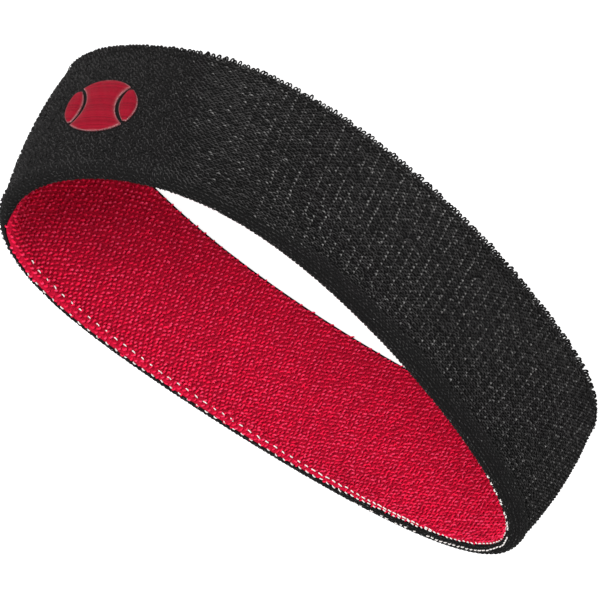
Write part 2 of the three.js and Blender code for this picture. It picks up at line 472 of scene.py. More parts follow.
class Graph:
    """A material's nodes. Every node comes from node(), and linked values are Numbers or sockets."""

    def __init__(self, name):
        self.material = bpy.data.materials.new(name)
        self.material.use_nodes = True
        self.tree = self.material.node_tree
        self.tree.nodes.clear()

    def node(self, kind, settings, sockets):
        """A node of a kind, its settings first, then the values or links of its sockets."""
        node = self.tree.nodes.new(kind)
        for key, value in settings.items():
            setattr(node, key, value)
        for key, value in sockets.items():
            if isinstance(value, Number):
                value = value.socket
            if isinstance(value, bpy.types.NodeSocket):
                self.tree.links.new(value, node.inputs[key])
            else:
                node.inputs[key].default_value = value
        return node

    def share(self, name):
        """One of the piece's named shares per point."""
        settings = {"attribute_type": "GEOMETRY", "attribute_name": name}
        return Number(self, self.node("ShaderNodeAttribute", settings, {}).outputs["Fac"])

    def map_axes(self, name):
        """The two numbers of a UV map."""
        place = self.node("ShaderNodeUVMap", {"uv_map": name}, {}).outputs[0]
        axes = self.node("ShaderNodeSeparateXYZ", {}, {0: place})
        return Number(self, axes.outputs[0]), Number(self, axes.outputs[1])

    def noise(self, scale, detail=2.0, roughness=0.5):
        """Noise in the object's own space, scale in waves a millimetre."""
        place = self.node("ShaderNodeTexCoord", {}, {}).outputs["Object"]
        sockets = {"Vector": place, "Scale": scale / MM, "Detail": detail, "Roughness": roughness}
        return Number(self, self.node("ShaderNodeTexNoise", {}, sockets).outputs["Fac"])

    def mix(self, share, first, second):
        """A colour between two, at a share of the way."""
        sockets = {0: share, 6: first, 7: second}
        return self.node("ShaderNodeMix", {"data_type": "RGBA"}, sockets).outputs[2]

    def bump(self, height, distance, strength):
        """A normal that a height pattern tilts."""
        sockets = {"Height": height, "Distance": distance, "Strength": strength}
        return self.node("ShaderNodeBump", {}, sockets).outputs[0]

    def finish(self, **sockets):
        """The surface shader, its sockets named with _ for a space."""
        named = {key.replace("_", " "): value for key, value in sockets.items()}
        surface = self.node("ShaderNodeBsdfPrincipled", {}, named)
        self.node("ShaderNodeOutputMaterial", {}, {"Surface": surface.outputs[0]})
        return self.material


def tinted(colour, factor):
    """The colour times a factor, no channel past 1."""
    return (*(min(1.0, channel * factor) for channel in colour[:3]), 1.0)


def paler(colour, share):
    """The colour a share of the way to white."""
    return (*(channel + (1 - channel) * share for channel in colour[:3]), 1.0)


def pile_yarn(name, foot, tip, glint_and_lint, gloss):
    """Soft spun yarn: painted shade at a loop's feet, a painted highlight at its head, a twist along
    it, and a pale head by a share per point: painted glints, and lint on a few black loops."""
    g = Graph(name)
    around, along = g.map_axes(YARN_MAP)
    twist = ((around * 2 + along * 1.6) * TAU).sine()
    head, shade, glint_and_lint_share = g.share("head"), g.share("shade"), g.share("glint_and_lint")
    fibre = g.noise(9.0, 3.0)
    # Painted shade at the feet and painted light at the head, faintly striped with the twist; the
    # per-loop share and the fibre noise add random tone.
    light = (head * 0.5 + (shade - 0.5) * 0.7 + fibre * 0.6 + twist * 0.05 - 0.1).clamped()
    # Painted glints: the head turns pale by the point's share, and is smoother there.
    painted_glint_spot = (glint_and_lint_share * head ** 4.0).clamped()
    return g.finish(
        Base_Color=g.mix(painted_glint_spot, g.mix(light, foot, tip), glint_and_lint),
        Roughness=(0.95 - painted_glint_spot * gloss).clamped(),
        Normal=g.bump(twist * 0.5 + fibre, 0.05 * MM, 0.5),
        Specular_IOR_Level=0.12,
    )


def ground_knit(name, dark, full):
    """Plain knit: slanted stitch legs in rows, as ridges on the cloth's own map in millimetres."""
    wale, rib = 1.0, 0.9
    g = Graph(name)
    across, up = g.map_axes(CLOTH_MAP)
    leg = ((across * (TAU / wale)).sine() * 1.2 + up * (TAU / rib)).sine()
    column = (across * (TAU / wale)).sine().size()
    fibre = g.noise(5.0, 4.0, 0.6)
    height = leg * 0.35 + column * 0.4 + fibre * 0.5
    # Painted shade: the colour follows the ridge height, darker in the hollows between stitches.
    light = (height * 0.7 + 0.15).clamped()
    return g.finish(
        Base_Color=g.mix(light, dark, full),
        Roughness=0.95,
        Normal=g.bump(height, 0.12 * MM, 0.7),
        Specular_IOR_Level=0.1,
    )


def sewing_thread(name, colour):
    """Two-ply polyester thread: faint grooves painted darker as shade, and a soft shine."""
    g = Graph(name)
    around, along = g.map_axes(YARN_MAP)
    fibre = g.noise(10.0, 2.0)
    # Painted shade: darker along the ply grooves; the fibre noise adds random tone.
    groove = ((around * 3 + along * 2.2) * TAU).sine() * 0.15 + fibre * 0.6 + 0.25
    return g.finish(
        Base_Color=g.mix(groove.clamped(), tinted(colour, 0.62), colour),
        Roughness=0.6,
        Normal=g.bump(groove, 0.04 * MM, 0.6),
        Specular_IOR_Level=0.4,
        Sheen_Weight=0.1,
    )


def satin_thread(name, colour):
    """Satin stitch: each thread lies side by side; at a panel's rim it is shinier and has a painted
    glint.
    """
    g = Graph(name)
    across, up = g.map_axes(CLOTH_MAP)
    rim, shade = g.share("rim"), g.share("shade")
    strand = (across * 2.2 + up * 31.0).sine()
    fibre = g.noise(7.0, 3.0)
    # Faint painted shade along the thread ridges; the strand's share and the fibre noise add random
    # tone.
    light = (0.5 + strand * 0.2 + (shade - 0.5) * 0.5 + (fibre - 0.5) * 1.2).clamped()
    body = g.mix(light, tinted(colour, 0.55), tinted(colour, 1.4))
    # Painted glint: a paler colour in spots along the rim.
    glint = (rim ** 24.0 * (fibre * 3.4 - 1.5)).clamped()
    return g.finish(
        Base_Color=g.mix(glint, body, paler(colour, 0.35)),
        Roughness=(0.55 - glint * 0.2).clamped(),
        Normal=g.bump(strand * 0.3 + fibre, 0.05 * MM, 0.6),
        Specular_IOR_Level=0.05,
    )


def covered_elastic(name, colour):
    """Rubber core wound with fine cover thread."""
    g = Graph(name)
    around, along = g.map_axes(YARN_MAP)
    winding = ((around + along * 1.1) * TAU).sine()
    # Painted shade: darker between the windings; the noise adds random tone.
    light = (winding * 0.3 + g.noise(6.0) * 0.6 + 0.2).clamped()
    return g.finish(
        Base_Color=g.mix(light, tinted(colour, 0.6), colour),
        Roughness=0.6,
        Normal=g.bump(winding, 0.03 * MM, 0.8),
        Sheen_Weight=0.05,
    )


def pressed_felt(name, colour):
    """Short fibres pressed flat in all directions."""
    g = Graph(name)
    fibre, clump = g.noise(4.0, 5.0, 0.7), g.noise(0.5)
    light = (fibre * 0.8 + clump * 0.3).clamped()
    return g.finish(
        Base_Color=g.mix(light, tinted(colour, 0.7), colour),
        Roughness=0.95,
        Normal=g.bump(fibre, 0.08 * MM, 0.7),
        Specular_IOR_Level=0.2,
    )


# ---------------------------------------------------------------- the plies


def arc_section(radius, height, start, end, steps):
    """Points of an arc as out and height, its angles in degrees from straight out."""
    angle = np.radians(np.linspace(start, end, steps))
    return np.stack((radius * np.cos(angle), height + radius * np.sin(angle)), axis=-1)


def face_reach(side, t, up):
    """How far the ground lies from the wall's middle where the face is straight.

    side is 1 for the outer face and -1 for the inner one. The ground widens to the roll above
    and, on the outer face, to the fold below; a hem stands out below the roll."""
    roll = smooth_step(ROLL_HEIGHT - SELVAGE_WIDTH, ROLL_HEIGHT, up)
    plain = GROUND_FACE + (ROLL_RADIUS - GROUND_FACE) * roll
    if side < 0:
        return plain + 0 * t
    above_fold = smooth_step(FOLD_HEIGHT, FOLD_HEIGHT + FOLD_BLEND, up)
    plain = plain + (FOLD_RADIUS - GROUND_FACE) * (1 - above_fold)
    on_hem = smooth_step(HEM_FOOT, HEM_FOOT + MM, up)
    hemmed = GROUND_FACE + (ROLL_RADIUS + HEM_SWELL - GROUND_FACE) * on_hem
    return plain + np.maximum(hemmed - plain, 0) * hem_share(t)


def roll_reach(side, t, over):
    """The roll's radius: fuller on its outer side where there is a hem."""
    swell_share = (1 - smooth_step(50, 95, over)) * hem_share(t) if side > 0 else 0
    return ROLL_RADIUS + HEM_SWELL * swell_share


def face_section(side, t, up):
    """Points up a face as out and height, for each angle."""
    up = np.broadcast_to(up, (len(t), len(up)))
    return np.stack((side * face_reach(side, t[:, None], up), up), axis=-1)


def roll_section(side, t, start, end, steps):
    """An arc of the sewn roll whose end angles, from straight out, change round the band."""
    angle = start[:, None] + (end - start)[:, None] * np.linspace(0, 1, steps)
    radius = roll_reach(side, t[:, None], angle)
    turned = np.radians(angle)
    return np.stack((radius * np.cos(turned), ROLL_HEIGHT + radius * np.sin(turned)), axis=-1)


def closed_shell(section, thickness):
    """The seen chain of a section, then the same chain offset to the cloth's other side, back."""
    tangent = unit(np.gradient(section, axis=1))
    normal = np.stack((tangent[..., 1], -tangent[..., 0]), axis=-1)
    hidden = section - thickness * normal
    return np.concatenate((section, hidden[:, ::-1]), axis=1)


def ripple(t, z, low, high, count, size):
    """Fine waves round the band between two heights, faded in and out over a millimetre."""
    window = smooth_step(low - MM, low, z) * (1 - smooth_step(high, high + MM, z))
    return size * window * np.sin(count * t + 2.1 * np.sin(3 * t))


def make_ply(name, section, material):
    """A ply: its closed section carried round the band, with fine ripples below the roll."""
    t = even_angles(len(section))[:, None]
    shell = closed_shell(section, GROUND_THICKNESS)
    out, z = shell[..., 0], shell[..., 1]
    puckers = ripple(t, z, HEM_FOOT, ROLL_HEIGHT - MM, PUCKER_COUNT, PUCKER_SIZE)
    points = wall(t, z, out + puckers * np.sign(out))
    rows, columns = points.shape[:2]
    faces = ring_faces(rows, columns, True, True)
    row, column = grid_corners(rows, columns, True, True)
    step = np.linalg.norm(np.diff(shell[0], axis=0, append=shell[0, :1]), axis=-1)
    travelled = np.concatenate(([0], np.cumsum(step)))
    cloth = np.stack((row / rows * GIRTH / MM, travelled[column] / MM), axis=-1)
    bake = np.stack((row / rows, travelled[column] / travelled[-1]), axis=-1)
    return make_piece(name, points, faces, material, {BAKE_MAP: bake, CLOTH_MAP: cloth})


def outer_section(t):
    """From the lip turned under the red ply, round the looped edge, up the outer face, over the
    sewn roll, to where the red ply starts."""
    fold = arc_section(FOLD_RADIUS, FOLD_HEIGHT, LIP_ANGLE, 360, 13)
    above_fold = FOLD_HEIGHT + FOLD_BLEND * np.array((0.25, 0.5, 0.75, 1.0))
    middle = np.linspace(FOLD_HEIGHT + 5 * MM, HEM_FOOT - 0.4 * MM, 9)
    hem = np.linspace(HEM_FOOT, ROLL_HEIGHT, 9)[:-1]
    face = face_section(1, t, np.concatenate((above_fold, middle, hem)))
    roll = roll_section(1, t, np.zeros(len(t)), border_angle(t) - BORDER_GAP, 12)
    fold = np.broadcast_to(fold, (len(t), *fold.shape))
    return np.concatenate((fold, face, roll), axis=1)


def inner_section(t):
    """From the border on the sewn roll, down the selvage and the inner face to the foot."""
    roll = roll_section(-1, t, border_angle(t) + BORDER_GAP, np.full(len(t), 180.0), 9)
    selvage = np.linspace(ROLL_HEIGHT, ROLL_HEIGHT - SELVAGE_WIDTH, 6)[1:]
    middle = np.linspace(selvage[-1] - 2 * MM, INNER_FOOT, 17)
    return np.concatenate((roll, face_section(-1, t, np.concatenate((selvage, middle)))), axis=1)


# ---------------------------------------------------------------- pile

FRINGE_PITCH = 1.15 * MM
EMBLEM_SURROUND = 0.6 * MM


def emblem_place(t, z):
    """Distance along the wall and up from the middle of the emblem."""
    return round_from_emblem(t), z - EMBLEM_HEIGHT


def disc_half_width(radius, up):
    """Half the width of a disc at a height in it, by Pythagoras."""
    return np.sqrt(np.maximum(radius * radius - up * up, 0))


def emblem_seam(up):
    """The arc between a side cap and the centre panel: it bows towards the ball's middle."""
    middle = EMBLEM_RADIUS - EMBLEM_CAP_WIDTH + EMBLEM_SEAM_RADIUS
    return middle - disc_half_width(EMBLEM_SEAM_RADIUS, up)


def under_emblem(t, z, margin):
    """True where the satin panels and their sunken surround leave no pile."""
    along, up = emblem_place(t, z)
    return np.hypot(along, up) < EMBLEM_RADIUS + margin


def face_frame(side, t, up):
    """Where a distance up a face lies in the section, with the directions off and up the cloth,
    and the angle over the roll in degrees. The face goes straight from the fold's middle to the
    roll's, and round the roll above it; the outer one also goes round the fold below."""
    over = np.maximum(up - ROLL_HEIGHT, 0) / ROLL_RADIUS
    under = np.maximum(FOLD_HEIGHT - up, 0) / FOLD_RADIUS * (side > 0)
    level = np.minimum(up, ROLL_HEIGHT)
    if side > 0:
        level = np.maximum(level, FOLD_HEIGHT)
    reach = np.where(over > 0, roll_reach(side, t, np.degrees(over)), face_reach(side, t, level))
    turned = over - under
    place = np.stack((side * reach * np.cos(turned), level + reach * np.sin(turned)), axis=-1)
    off = np.stack((side * np.cos(turned), np.sin(turned)), axis=-1)
    upward = np.stack((-side * np.sin(turned), np.cos(turned)), axis=-1)
    return place, off, upward, np.degrees(over)


def loop_paths(t, side, up, slant, span, rise, lean, steps):
    """Arches of yarn: half an ellipse in a plane that is turned by slant, its head pushed over.

    Along the arch, position is half the span times the cosine and height is the rise times the
    sine of an angle that runs from just below the ground on one side to the same on the other."""
    angle = np.linspace(-0.35, math.pi + 0.35, steps)
    along = (span / 2)[:, None] * np.cos(angle)
    height = rise[:, None] * np.sin(angle)
    pushed = np.maximum(np.sin(angle), 0) ** 1.5
    round_by = np.cos(slant)[:, None] * along + lean[0][:, None] * pushed
    up_by = np.sin(slant)[:, None] * along + lean[1][:, None] * pushed
    place, off, upward, _ = face_frame(side, t, up)
    out = place[:, :1] + off[:, :1] * height + upward[:, :1] * up_by
    z = place[:, 1:] + off[:, 1:] * height + upward[:, 1:] * up_by
    turned = t[:, None] + round_by / wall_speed(t, place[:, 1])[:, None]
    paths = wall(turned, z, out)
    nudge = 0.01
    here = wall(t, place[:, 1], place[:, 0])
    ahead = unit(wall(t + nudge, place[:, 1], place[:, 0]) - here)
    above = place + nudge * MM * upward
    climb = unit(wall(t, above[:, 1], above[:, 0]) - here)
    across = np.cos(slant)[:, None] * climb - np.sin(slant)[:, None] * ahead
    head = np.repeat(np.maximum(np.sin(angle), 0)[None], len(t), axis=0)
    return paths, across[:, None], head


def pile_grid(places, pitch, low, high, shift, rng, scatter):
    """Places of the loops: columns round the band and rows up it. Each column is shifted up by
    its own amount, wrapping at the top, and each loop is a little off."""
    rows = round((high - low) / pitch)
    column, row = np.meshgrid(np.arange(len(places)), np.arange(rows), indexing="ij")
    column, row = column.ravel(), row.ravel()
    offset = rng.normal(0, scatter, (2, len(column)))
    height = ((row + 0.5) * (high - low) / rows + shift[column]) % (high - low)
    return column, places[column] + offset[0], low + height + offset[1]


def wandering(t, z, seed):
    """A slow swell of light and dark over the cloth: the mean of a few sines, -1 to 1."""
    waves = 5
    rng = np.random.default_rng(seed)
    total = 0
    for _ in range(waves):
        turns, rise, phase = rng.integers(2, 14), rng.uniform(-90, 90), rng.uniform(0, TAU)
        total = total + np.sin(turns * t + rise * z + phase)
    return total / waves


def split_tubes(name, count, paths, side, radius, material, marks):
    """The same tubes as a few pieces, each one stretch of the band."""
    pieces = []
    for number, part in enumerate(np.array_split(np.arange(len(paths)), count), start=1):
        chosen = {key: value[part] for key, value in marks.items()}
        piece = tubes(f"{name}_{number}", paths[part], side[part], radius[part], material, chosen)
        pieces.append(piece)
    return pieces


def black_pile(sizes, material):
    """Short loops on the outer face, in columns half a pitch apart, along the rows. Every fourth
    column stands out as round heads with painted glints. By the emblem all are finer, and on the
    hem and the roll they lie flat.

    Each loop's sizes blend from fine to coarse, then to proud or flat, in millimetres."""
    rng = np.random.default_rng(11)
    pitch = sizes.black_pitch
    proud_every, column_lean = 4, 0.17
    count = proud_every * round(GIRTH / pitch / 2)
    places = np.arange(count) * GIRTH / count
    low, high = FOLD_HEIGHT - 1.9 * MM, ROLL_HEIGHT + 2.5 * ROLL_RADIUS
    shift = pitch / 2 * (np.arange(count) % 2)
    column, distance, up = pile_grid(places, 1.04 * pitch, low, high, shift, rng, 0.09 * MM)
    distance = distance + column_lean * up
    coarse = coarseness(angle_at(distance))
    jolt = rng.normal(0, 0.16, (2, len(up))) * (1 - coarse) * MM
    t, up = angle_at(distance + jolt[0]), up + jolt[1]
    over = face_frame(1, t, up)[3]
    keep = ~under_emblem(t, up, EMBLEM_SURROUND) & (over < border_angle(t) - 8)
    column, t, up, over, coarse = (value[keep] for value in (column, t, up, over, coarse))
    order = np.argsort(t, kind="stable")
    column, t, up, over, coarse = (value[order] for value in (column, t, up, over, coarse))
    count = len(t)
    on_hem = smooth_step(HEM_FOOT - 0.3 * MM, HEM_FOOT + 0.5 * MM, up) * hem_share(t)
    flat = np.maximum(on_hem, smooth_step(10, 50, over))
    wave = wandering(t, up, 21)
    proud = (column % proud_every == 0) * beside_emblem(t, 38 * MM, 75 * MM) * (1 - flat)
    slant = blended(rng.normal(127, 40, count), rng.normal(176, 9, count), coarse)
    slant = np.radians(blended(slant, rng.normal(150, 10, count), proud))
    span = blended(0.6, 1.25, coarse) * blended(1, 0.5, proud) * rng.normal(1, 0.12, count)
    span = blended(span, 0.7, flat) * MM
    rise = blended(0.4, 0.46, coarse) + 0.2 * proud + rng.normal(0, 0.05, count)
    rise = blended(rise, 0.13, flat) * MM
    radius = blended(0.15, 0.17, coarse) + 0.02 * proud
    radius = blended(radius, 0.11, flat) * rng.normal(1, 0.1, count) * MM
    lean = rng.normal(0, 0.08, (2, count)) * MM
    paths, side, head = loop_paths(t, 1, up, slant, span, rise, lean, 5)
    # Painted glints: pale heads on the proud columns where light catches the yarn, fewer towards the -X
    # end. A few loops elsewhere are pale as lint.
    painted_glints = proud * rng.uniform(0.0, 0.9, count) ** 1.7 * smooth_step(-0.7, -0.1, wave)
    painted_glints = painted_glints * (1 - 0.45 * smooth_step(0.5, 0.9, -np.cos(t)))
    lint_share = (rng.uniform(size=count) < 0.06 * coarse) * rng.uniform(0.1, 0.6, count)
    shade = np.clip(0.45 + 0.2 * wave + rng.normal(0, 0.4, count), 0, 1)
    marks = {"head": head, "shade": shade, "glint_and_lint": np.clip(painted_glints + lint_share, 0, 1)}
    return split_tubes("outer_pile", 4, paths, side, radius, material, marks)


def red_pile(sizes, material):
    """Fuller loops on the inner face, in columns that are closer towards the -X end, with rows
    that rise and fall round the band, slanted across the columns, and lower at both edges. They
    stop further from the border on the -Y wall."""
    rng = np.random.default_rng(12)
    pitch = sizes.red_pitch

    def drawn_out(t):
        """0 where the knit is relaxed, 1 where it is stretched towards the -X end."""
        return smooth_step(-0.3, 0.8, -np.cos(t))

    places = spaced_places(lambda t: pitch * (1.06 - 0.28 * drawn_out(t)))
    low, high = INNER_FOOT - 0.4 * MM, ROLL_HEIGHT + 1.5 * ROLL_RADIUS
    shift = pitch / 2 * (np.arange(len(places)) % 2) - 22 * MM * np.sin(angle_at(places))
    _, distance, up = pile_grid(places, pitch, low, high, shift, rng, 0.13 * MM)
    t = angle_at(distance)
    over = face_frame(-1, t, up)[3]
    keep = over < 180 - border_angle(t) - 6 - 16 * smooth_step(0.0, 0.4, -np.sin(t))
    t, up, over = (value[keep] for value in (t, up, over))
    count = len(t)
    drawn = drawn_out(t)
    border = ROLL_HEIGHT + np.radians(180 - border_angle(t)) * ROLL_RADIUS - up
    flat = np.maximum(smooth_step(1.8 * MM, 0.6 * MM, border), smooth_step(2.6 * MM, 1.4 * MM, up))
    slant = np.radians(128 + 8 * drawn + rng.normal(0, 1, count) * (13 + 5 * drawn))
    span = (rng.normal(0.85, 0.12, count) + 0.25 * drawn) * MM
    rise = (rng.normal(0.74, 0.09, count) - 0.14 * drawn) * (1 - 0.6 * flat) * MM
    lean = rng.normal(0, 0.12, (2, count)) * MM
    paths, side, head = loop_paths(t, -1, up, slant, span, rise, lean, 6)
    wave = wandering(t, up, 22)
    shade = np.clip(0.5 + 0.2 * wave + rng.normal(0, 0.25, count), 0, 1)
    # Painted highlights: half the loops get pale pink heads where light catches their fuzz, the rest a
    # faint one.
    glint_and_lint = np.where(rng.uniform(size=count) < 0.5, rng.uniform(0.2, 0.9, count), 0.1)
    marks = {"head": head, "shade": shade, "glint_and_lint": glint_and_lint}
    radius = (rng.normal(0.33, 0.025, count) - 0.06 * drawn - 0.05 * flat) * MM
    return split_tubes("inner_pile", 3, paths, side, radius, material, marks)


def fringe_rings(material):
    """Fine yarn rings that stand off the looped edge: each starts on the fold, runs out along a
    spoke from the fold's middle, and comes back a little further round the band.

    Spokes are in degrees from straight down, each with its rings' share of the full height. The
    tallest rings point down and out, and no ring reaches the floor."""
    rng = np.random.default_rng(13)
    spokes, tall = np.array((14, 50, 66)), np.array((0.4, 1.0, 0.3))
    columns = round(GIRTH / FRINGE_PITCH)
    row, column = np.meshgrid(np.arange(len(spokes)), np.arange(columns), indexing="ij")
    row, column = row.ravel(), column.ravel()
    distance = (column + rng.uniform(-0.15, 0.15, column.size)) * GIRTH / columns
    t = angle_at(distance)
    spoke = np.radians(spokes[row] + rng.normal(0, 3, row.size))
    count = len(spoke)
    width = rng.normal(0.72, 0.07, count) * MM
    yarn = rng.normal(0.26, 0.02, count) * MM
    floor_gap = 0.03 * MM
    clear = (FOLD_HEIGHT - yarn - floor_gap) / np.cos(spoke)
    grown = (0.5 + 0.5 * coarseness(t)) * (0.35 + 0.65 * smooth_step(0.1, 0.5, -np.sin(t)))
    reach = FOLD_RADIUS + rng.uniform(1.35, 1.95, count) * grown * tall[row] * MM
    reach = np.minimum(reach, clear)
    start = FOLD_RADIUS - 0.3 * MM
    steps = 10
    angle = np.linspace(-0.5, math.pi + 0.5, steps)
    centre = (reach + start) / 2
    rise = (reach - start) / 2
    radius_at = centre[:, None] + rise[:, None] * np.sin(angle)
    along = (width / 2)[:, None] * np.cos(angle)
    skew = rng.normal(-0.25, 0.14, count)[:, None] * (radius_at - start)
    t = angle_at(distance[:, None] + along + skew)
    out = radius_at * np.sin(spoke)[:, None]
    z = FOLD_HEIGHT - radius_at * np.cos(spoke)[:, None]
    paths = wall(t, z, out)
    across = np.cross(paths[:, -1] - paths[:, 0], paths[:, steps // 2] - paths[:, 0])
    marks = {
        "head": np.full((count, steps), 0.4),
        "shade": rng.uniform(0.0, 0.3, count),
        "glint_and_lint": np.zeros(count),
    }
    return tubes("edge_loops", paths, unit(across)[:, None], yarn, material, marks)


# ---------------------------------------------------------------- seam stitches

# A stitch's two plies: how far each winds out, its own radius, the bow up off the cloth, and
# how deep the ends dive.
STITCH_WINDING = 0.09 * MM
STITCH_PLY_RADIUS = 0.115 * MM
STITCH_BOW = 0.14 * MM
STITCH_DIVE = 0.1 * MM
INNER_ROW_SHIFT = 1.4 * MM
OUTER_ROW_BACK = 46


def stitch_row(name, node, places, out, z, slant, length, material, rng):
    """Short stitches of two plies wound round each other, each bowed up off the cloth.

    Each ply's middle line goes round the stitch's own line once and a half."""
    count = len(places)
    steps = 10
    share = np.linspace(-1, 1, steps)
    half = (length / 2)[:, None]
    bow = STITCH_BOW * (1 - share**2) - STITCH_DIVE * share**4
    lift = np.radians(slant)[:, None]
    t0 = angle_at(places)[:, None]
    base_out, base_z = out[:, None], z[:, None]
    off_roll = np.stack((base_out, base_z - ROLL_HEIGHT), axis=-1)
    off_face = np.sign(base_out)[..., None] * (1.0, 0.0)
    facing = unit(np.where(base_z[..., None] > ROLL_HEIGHT, off_roll, off_face))
    paths = []
    for phase in (0, math.pi):
        turn = share * 1.5 * math.pi + phase
        along = half * share * np.cos(lift)
        across = half * share * np.sin(lift) + STITCH_WINDING * np.cos(turn)
        above = bow + STITCH_WINDING * np.sin(turn)
        t = t0 + along / wall_speed(t0, base_z)
        ply_out = base_out + above * facing[..., 0] - across * facing[..., 1]
        ply_z = base_z + above * facing[..., 1] + across * facing[..., 0]
        paths.append(wall(t, ply_z, ply_out))
    paths = np.concatenate(paths)
    nearly_up = np.array((0.001, 0.001, 1.001))
    taper = np.array((0.55, 0.85, 1, 1, 1, 1, 1, 1, 0.85, 0.55))
    marks = {"shade": rng.uniform(size=2 * count)}
    piece = tubes(name, paths, nearly_up, STITCH_PLY_RADIUS, material, marks, 6, taper)
    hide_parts(node)


def roll_place(angle, standoff):
    """Out and height of a point on the sewn roll, at an angle in degrees from straight out."""
    turned = np.radians(angle)
    radius = ROLL_RADIUS + standoff
    return radius * np.cos(turned), ROLL_HEIGHT + radius * np.sin(turned)


def stitch_pitch(t):
    """Stitches are long on the +Y wall and at the +X end, and short round the -X end."""
    return (3.1 - 1.75 * smooth_step(0.3, 0.95, -np.cos(t))) * MM


def seam_stitches(material):
    """The linking row in the border between the plies, and the two rows of cover stitches.

    Each row keeps a stitch by the chance of its place round the band, since the thread runs
    inside the edge elsewhere. Linking stitches are sunk into the cloth on the -Y wall, from the
    +X end to halfway along the +Y wall, and at the tip of the -X end."""
    rng = np.random.default_rng(14)
    places = spaced_places(stitch_pitch)
    t = angle_at(places)
    pale = smooth_step(1.5, 2.4, t)
    near = smooth_step(0.05, -0.2, np.sin(t)) * smooth_step(1.01, 0.9, -np.cos(t))
    opening = smooth_step(0.35, 0.9, t) * smooth_step(TAU - 0.6, math.pi, t)
    chance = np.where(near > 0.5, 0.3 * smooth_step(0.2, -0.2, np.cos(t)), opening)
    shown = rng.uniform(size=len(places)) < chance
    spots, border, near = places[shown], border_angle(t[shown]), near[shown]
    count = len(spots)
    bend = smooth_step(2.9, 3.15, t[shown])
    sunk = 0.26 * MM * near + 0.2 * MM * np.maximum(1 - pale[shown], 1.3 * bend) * (near < 0.5)
    out, z = roll_place(border + BORDER_GAP + rng.normal(0, 3, count), 0.22 * MM - sunk)
    slant = rng.normal(-12, 9, count)
    length = np.minimum(stitch_pitch(t[shown]) * 0.5, 1.0 * MM) * rng.normal(1, 0.12, count)
    row = ("linking_stitches", "linking_thread")
    stitch_row(*row, spots, out, z, slant, length, material, rng)

    chance = smooth_step(0.45, 0.9, t) * smooth_step(2.75, 2.5, t)
    shown = rng.uniform(size=len(places)) < chance
    spots, angle = places[shown] + INNER_ROW_SHIFT, t[shown]
    count = len(spots)
    over = blended(8, 30, smooth_step(0.9, 2.2, angle)) + rng.normal(0, 2, count)
    out, z = roll_place(180 - over, 0.5 * MM - 0.12 * MM * (1 - pale[shown]))
    slant, length = rng.normal(-10, 6, count), rng.normal(1.15, 0.15, count) * MM
    row = ("inner_seam_stitches", "inner_seam_thread")
    stitch_row(*row, spots, out, z, slant, length, material, rng)

    chance = smooth_step(2.2, 2.7, t) * smooth_step(3.9, 3.4, t)
    shown = rng.uniform(size=len(places)) < 0.9 * chance
    spots = places[shown]
    count = len(spots)
    over = border_angle(t[shown]) - OUTER_ROW_BACK + rng.normal(0, 3, count)
    out, z = roll_place(over, 0.2 * MM)
    slant, length = rng.normal(10, 8, count), rng.normal(0.8, 0.1, count) * MM
    row = ("outer_seam_stitches", "outer_seam_thread")
    stitch_row(*row, spots, out, z, slant, length, material, rng)


# ---------------------------------------------------------------- emblem, yarns and backing

SATIN_THREAD = 0.42 * MM
SATIN_BASE = 1.4 * MM
SATIN_RIM = 1.9 * MM
SATIN_CROWN = 0.75 * MM
SATIN_RIDGE = 0.11 * MM
SATIN_JAG = 0.09 * MM
SATIN_SLANT = 0.12
YARN_WINDINGS = 150
YARN_GROOVE = 0.03 * MM


def tip_height(width_at):
    """The height in the ball where a panel narrows to its last stitch, by halving."""
    low, high = 0.0, EMBLEM_RADIUS
    for _ in range(30):
        middle = (low + high) / 2
        low, high = (middle, high) if width_at(middle) > EMBLEM_END_WIDTH else (low, middle)
    return low


def satin_panel(name, node, tip, left_at, right_at, material, slant):
    """A panel of satin stitch: rows of thread from its left rim to its right, domed over the
    padding, each thread a ridge of a cosine's size, and a flat back in the pile."""
    rows, columns = 6 * round(2 * tip / SATIN_THREAD) + 1, 19
    up = np.linspace(-tip, tip, rows)[:, None]
    share = (1 - np.cos(np.linspace(0, math.pi, columns))) / 2
    left, right = left_at(up), right_at(up)
    along = left + (right - left) * share
    centre = 2 * share - 1
    row_dome = 1 - np.abs(up / tip) ** 6
    dome = (1 - centre**4) * row_dome
    wave = np.abs(np.cos((up + slant * along) * math.pi / SATIN_THREAD))
    out = SATIN_RIM + SATIN_CROWN * dome + SATIN_RIDGE * wave * (0.4 + 0.6 * dome)
    jag = SATIN_JAG * np.sign(centre) * wave * (np.abs(centre) > 0.99)
    t = angle_at(distance_at(EMBLEM_AT) + along + jag)
    z = EMBLEM_HEIGHT + up + 0 * along
    points = np.concatenate((wall(t, z, out), wall(t, z, SATIN_BASE)[:, ::-1]), axis=1)
    around = np.concatenate((share, share[::-1] + 1.2, [2.3]))

    def map_at(row, column):
        return np.stack((0.02 + 0.96 * row / (rows - 1), 0.02 + 0.4 * around[column]), axis=-1)

    faces, bake = slab(rows, columns, (0.01, 0.97), map_at)
    place = [(there_and_back(value) / MM).ravel()[faces] for value in (along, z)]
    rim = np.maximum(np.abs(centre) * np.ones_like(up), np.abs(up / tip) ** 4 + 0 * share)
    strand = np.floor((up + slant * along) / SATIN_THREAD)
    random = np.random.default_rng(15).uniform(size=200)
    shade = random[strand.astype(int) % len(random)]
    maps = {BAKE_MAP: bake, CLOTH_MAP: np.stack(place, axis=-1)}
    marks = {"rim": there_and_back(rim), "shade": there_and_back(shade)}
    piece = make_piece(name, points, faces, material, maps, marks)
    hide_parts(node)


